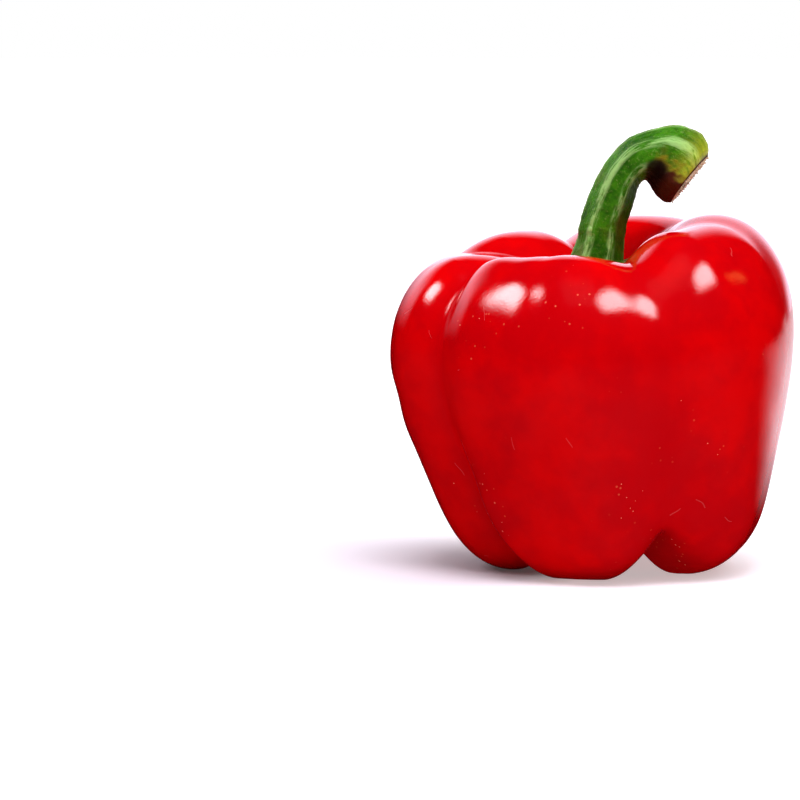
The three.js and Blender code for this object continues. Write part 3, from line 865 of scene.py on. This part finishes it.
class PEPPER_OT_stem(bpy.types.Operator):
    """Makes the stem with its calyx and the frayed fibres round its cut end"""
    bl_idname = "pepper.stem"
    bl_label = "Make Stem"

    def execute(self, context):
        settings = context.scene.pepper_stem
        angle, rows = stem_rows()
        rings = [ring for ring, *_ in rows]
        face_ring, along = stalk_ring(angle, 1, 0.0)
        first = face_ring[0] - 0.5 * along
        mesh = closed_skin("pepper_stem", first, rings, np.array([0, 0, SEAT_HEIGHT + GAP]))
        length = np.cumsum([0] + [np.linalg.norm(a - b, axis=1).mean() for a, b in zip(rings, rings[1:])])
        per_row, fibre = [], []
        for n, (_, share, brown, rim, cut) in enumerate(rows):
            rib = np.where(share >= 0, rib_height(angle), tooth_height(angle))
            ring = cut * (n + 1) / END_ROWS + (1 - cut)
            # Painted shade down the inner side of the stalk, below the bend
            shade = smooth((np.cos(angle) - 0.3) / 0.6) * (1 - smooth((share - 0.3) / 0.2))
            # Painted shade: black under the inside of the bend
            dark = smooth((np.cos(angle) + 0.1) / 0.5) * np.exp(-((share - 0.68) / 0.12) ** 2)
            per_row.append((share, brown, rim, rib, ring, shade, dark))
            fibre.append(np.stack([np.cos(angle), np.sin(angle), angle * 0 + length[n] * 0.03], -1))
        for name, values in zip(("share", "brown", "rim", "rib", "ring", "shade", "dark"), zip(*per_row)):
            end = 0.0 if name == "ring" else values[0][0]
            store(mesh, name, np.concatenate([[end], np.concatenate(values), [values[-1][0]]]))
        store(mesh, "fibre", np.vstack([[(0, 0, 0)], *fibre, [(0, 0, 3)]]))
        mesh.materials.append(stem_finish(settings))
        mesh.materials.append(cut_finish(settings))
        on_face = np.arange(len(mesh.polygons)) < STEM_SIDES * END_ROWS
        mesh.polygons.foreach_set("material_index", on_face.astype(int))
        hand_over(show(mesh), "green_stem", "stem_and_calyx")

        # Fibres stand on the cut face, just inside its edge and on the ring of vessels
        noise.seed_set(FIBRE_SEED)  # without it noise_vector takes its start from the clock
        spots, reach = [], []
        for scale, count, lean in ((0.93, 74, 0.5), (0.86, 60, 0.3), (0.72, 44, 0.1)):
            turn = np.arange(count) * 2 * math.pi / count
            ring, _ = stalk_ring(turn, 1, scale)
            middle = ring.mean(axis=0)
            for spot, side in zip(ring, ring - middle):
                wobble = noise.noise_vector(Vector(spot) * 3.7)
                direction = along + lean * side / np.linalg.norm(side) + 0.5 * np.array(wobble)
                spots.append(spot - along * 0.25 + np.array(wobble) * 0.25)
                reach.append(direction)
        base = bpy.data.meshes.new("cut_fibres")
        base.from_pydata([tuple(p) for p in np.array(spots) * MM + SHIFT], [], [])
        store(base, "reach", reach)
        fibres = show(base)
        grow(fibres, fibres_tree(), {"Length": settings.fibre_length, "Thickness": settings.fibre_thickness,
                                     "Seed": FIBRE_SEED, "Material": fibre_finish()})
        hand_over(fibres, "green_stem")
        return {"FINISHED"}


# The stage

CAMERA_DISTANCE = 0.9
PIXELS_PER_METRE = 4380      # at the axis of the pepper, in an image 800 pixels wide
IMAGE_SIDE = 800
SENSOR = 36.0
CAMERA_ELEVATION = 5.0
AXIS_COLUMN = 598            # the image column of the pepper's axis
GROUND_ROW = 567.5           # the image row of the axis where it meets the floor
AIM_HEIGHT = 0.0505
TOP_LAMP = (0.0, -0.4, 0.9)     # directions from the pepper
LEFT_LAMP = (-0.72, -0.14, 0.68)
RIGHT_LAMP = (0.53, -0.33, 0.78)
WARM_LAMP = (0.81, 0.25, 0.53)
LAMP_DISTANCE = 1.1
LAMP_COLOR = (1.0, 0.93, 0.97)
BACKDROP_COLOR = (1.0, 0.80, 0.97)
SQUARE = ((-1, -1), (1, -1), (1, 1), (-1, 1))
BACK_PANEL = ((-0.35, 1.6, 0), (1.0, 1.6, 0), (1.0, 1.6, 1.9), (-0.35, 1.6, 1.9))
LEFT_BACK_PANEL = ((-1.5, 0.3, 0.25), (-0.35, 1.6, 0), (-0.35, 1.6, 1.5), (-1.5, 0.3, 1.5))
SHARP = 0.001                # share over which a panel's edge fades where it is to look sharp
FLOOR_REACH = 8.0


def make_lamp(name, direction, size, power, shine=0.0, color=LAMP_COLOR):
    """A soft lamp. Its gloss is left to a panel in its place that fades towards its edge."""
    lamp = bpy.data.lights.new(name, "AREA")
    lamp.shape, lamp.energy, lamp.color = "RECTANGLE", power, color
    lamp.size, lamp.size_y = size
    shown = show(lamp)
    direction = Vector(direction).normalized()
    turn = direction.to_track_quat("Z", "Y")
    shown.location = Vector((0, 0, 0.055)) + direction * LAMP_DISTANCE
    shown.rotation_euler = turn.to_euler()
    shown.visible_glossy = False
    corners = [shown.location + turn @ Vector((x * size[0] / 2, y * size[1] / 2, 0)) for x, y in SQUARE]
    if shine:
        make_panel(name + "_panel", corners, color, shine, rounded=True)


def make_panel(name, corners, color, strength, fades=(SHARP,) * 4, rounded=False):
    """A bright panel that only gloss shows. fades: the shares of its width and height over which it
    fades out at the left, right, bottom and top; a rounded one fades from its middle instead."""
    mesh = square(name, corners)
    spots = mesh.uv_layers.new(name="panel")
    for n, (x, y) in enumerate(SQUARE):
        spots.uv[n].vector = ((x + 1) / 2, (y + 1) / 2)
    finish = bpy.data.materials.new(name)
    finish.use_nodes = True
    tree = finish.node_tree
    tree.nodes.clear()
    across, up, _ = axes(tree, node(tree, "ShaderNodeUVMap", uv_map="panel").outputs["UV"])
    if rounded:
        offs = [maths(tree, "POWER", maths(tree, "ABSOLUTE", maths(tree, "MULTIPLY_ADD", side, 2.0, -1.0)), 3.0)
                for side in (across, up)]
        off = maths(tree, "POWER", maths(tree, "ADD", *offs), 1 / 3)
        shape = maths(tree, "POWER", ranged(tree, off, 0.35, 1.0, 1.0, 0.0), 1.3)
    else:
        width, height = (times(tree, ranged(tree, side, 0.0, low), ranged(tree, side, 1 - high, 1.0, 1.0, 0.0))
                         for side, low, high in ((across, *fades[:2]), (up, *fades[2:])))
        shape = times(tree, width, height)
    light = node(tree, "ShaderNodeEmission",
                 {"Color": (*color, 1), "Strength": times(tree, shape, strength)})
    out = tree.nodes.new("ShaderNodeOutputMaterial")
    tree.links.new(light.outputs[0], out.inputs["Surface"])
    mesh.materials.append(finish)
    panel = show(mesh)
    panel.visible_camera = panel.visible_diffuse = panel.visible_shadow = False
    panel.visible_transmission = panel.visible_volume_scatter = False


def make_camera():
    """The camera at the photograph's viewing angle, turned so that the axis falls in its column."""
    focal = PIXELS_PER_METRE * CAMERA_DISTANCE
    elevation = math.radians(CAMERA_ELEVATION)
    camera = bpy.data.cameras.new("camera")
    camera.sensor_width = SENSOR
    camera.lens = SENSOR * focal / IMAGE_SIDE
    camera.clip_start, camera.clip_end = 0.01, 50
    shown = show(camera)
    aim = Vector((SHIFT[0], SHIFT[1], AIM_HEIGHT))
    shown.location = aim + CAMERA_DISTANCE * Vector((0, -math.cos(elevation), math.sin(elevation)))
    aim_row = GROUND_ROW - PIXELS_PER_METRE * AIM_HEIGHT * math.cos(elevation)
    pan = math.atan((AXIS_COLUMN - IMAGE_SIDE / 2) / focal)
    tilt = elevation + math.atan((IMAGE_SIDE / 2 - aim_row) / focal)
    shown.rotation_euler = (math.pi / 2 - tilt, 0, pan)
    bpy.context.scene.camera = shown


def make_world(settings):
    """White to the eye, and soft light from above that is weaker from the sides. Gloss shows none of it."""
    world = bpy.data.worlds.new("studio")
    world.use_nodes = True
    bpy.context.scene.world = world
    world.cycles_visibility.glossy = False
    tree = world.node_tree
    background = next(n for n in tree.nodes if n.type == "BACKGROUND")
    way = axes(tree, node(tree, "ShaderNodeTexCoord").outputs["Generated"])
    height = ranged(tree, way["Z"], 0.1, 1.0, 0.22, 2.5)
    side = times(tree, ranged(tree, way["X"], -0.85, 0.2, 0.0, 1.0),
                 ranged(tree, way["X"], 0.2, 1.0, 1.0, 0.8))
    soft = times(tree, times(tree, height, side), settings.room_light)
    seen = node(tree, "ShaderNodeLightPath").outputs["Is Camera Ray"]
    feed(tree, background,
         {"Color": WHITE, "Strength": maths(tree, "MULTIPLY_ADD", seen, rest(tree, soft), soft)})


def floor_finish(settings):
    """Plain white floor that glows a little. The skin's gloss shows it only behind and to the right."""
    finish, tree, shader, place = new_finish("studio_floor")
    tone = blend(tree, grain(tree, place, 0.35), (*settings.floor_tone, 1),
                 (*(0.985 * c for c in settings.floor_tone), 1))
    way = axes(tree, place)
    far = vectors(tree, "LENGTH", place)["Value"]
    aside = maths(tree, "DIVIDE", way["X"], far)
    behind = ranged(tree, maths(tree, "MULTIPLY_ADD", aside, 0.35, maths(tree, "DIVIDE", way["Y"], far)), 0.6, 0.98)
    right = ranged(tree, aside, -0.3, 0.1)
    lit = times(tree, ranged(tree, far, 0.07, 0.22), times(tree, behind, right))
    beyond = times(tree, ranged(tree, far, 0.3, 2.5), ranged(tree, aside, 0.5, 0.7))
    lit = times(tree, lit, rest(tree, beyond))
    path = node(tree, "ShaderNodeLightPath").outputs
    hidden = times(tree, path["Is Glossy Ray"], rest(tree, lit))
    hidden = maths(tree, "MULTIPLY_ADD", path["Is Diffuse Ray"], 0.16, hidden)
    shown = maths(tree, "SUBTRACT", 1.0, hidden, clamp=True)
    seen = times(tree, path["Is Camera Ray"], ranged(tree, far, 0.02, 0.1, 0.0, 0.6))
    glow = maths(tree, "ADD", seen, ranged(tree, far, 0.1, 0.8, 0.42, 0.55))
    glow = times(tree, glow, ranged(tree, aside, -0.9, -0.1, 0.1, 1.0))
    feed(tree, shader, {"Base Color": blend(tree, shown, BLACK, tone), "Roughness": 1.0,
                        "Emission Color": blend(tree, shown, BLACK, WHITE), "Emission Strength": glow,
                        "Specular IOR Level": 0.0})
    return finish


class PEPPER_OT_stage(bpy.types.Operator):
    """Makes the floor, the lamps, the light of the room and the camera"""
    bl_idname = "pepper.stage"
    bl_label = "Make Stage"

    def execute(self, context):
        settings = context.scene.pepper_stage
        mesh = square("studio_floor", [(x * FLOOR_REACH, y * FLOOR_REACH, 0) for x, y in SQUARE])
        mesh.materials.append(floor_finish(settings))
        show(mesh)
        make_lamp("top_lamp", TOP_LAMP, (0.6, 0.6), settings.top_lamp_power)
        make_lamp("left_lamp", LEFT_LAMP, (0.56, 0.5), settings.left_lamp_power, settings.lamp_shine * 1.3)
        make_lamp("right_lamp", RIGHT_LAMP, (0.92, 0.5), settings.right_lamp_power, settings.lamp_shine)
        make_lamp("warm_lamp", WARM_LAMP, (0.12, 0.22), 0.12, 2.6, (1.0, 0.35, 0.08))
        make_panel("back_panel", BACK_PANEL, BACKDROP_COLOR, settings.backdrop_light, (SHARP, 0.3, SHARP, 0.75))
        make_panel("left_back_panel", LEFT_BACK_PANEL, BACKDROP_COLOR, settings.backdrop_light * 1.2,
                   (0.25, SHARP, 0.4, 0.65))
        make_world(settings)
        make_camera()
        context.scene.view_settings.view_transform = "Standard"
        return {"FINISHED"}


class PEPPER_PT_panel(bpy.types.Panel):
    """The pepper's settings and the buttons that make its pieces"""
    bl_label = "Bell Pepper"
    bl_idname = "PEPPER_PT_panel"
    bl_space_type = "VIEW_3D"
    bl_region_type = "UI"
    bl_category = "Bell Pepper"

    def draw(self, context):
        for name, kind in SETTINGS.items():
            box = self.layout.box()
            for setting in kind.__annotations__:
                box.prop(getattr(context.scene, name), setting)
            box.operator(name.replace("_", "."))


SETTINGS = {"pepper_fruit": PepperFruitSettings, "pepper_stem": PepperStemSettings,
            "pepper_stage": PepperStageSettings}
CLASSES = (*SETTINGS.values(), PEPPER_OT_fruit, PEPPER_OT_stem, PEPPER_OT_stage, PEPPER_PT_panel)


def register():
    for cls in CLASSES:
        bpy.utils.register_class(cls)
    for name, kind in SETTINGS.items():
        setattr(bpy.types.Scene, name, bpy.props.PointerProperty(type=kind))


def unregister():
    for name in SETTINGS:
        delattr(bpy.types.Scene, name)
    for cls in reversed(CLASSES):
        bpy.utils.unregister_class(cls)


def main():
    register()
    bpy.ops.pepper.stage()
    bpy.ops.pepper.fruit()
    bpy.ops.pepper.stem()


if __name__ == "__main__":
    main()
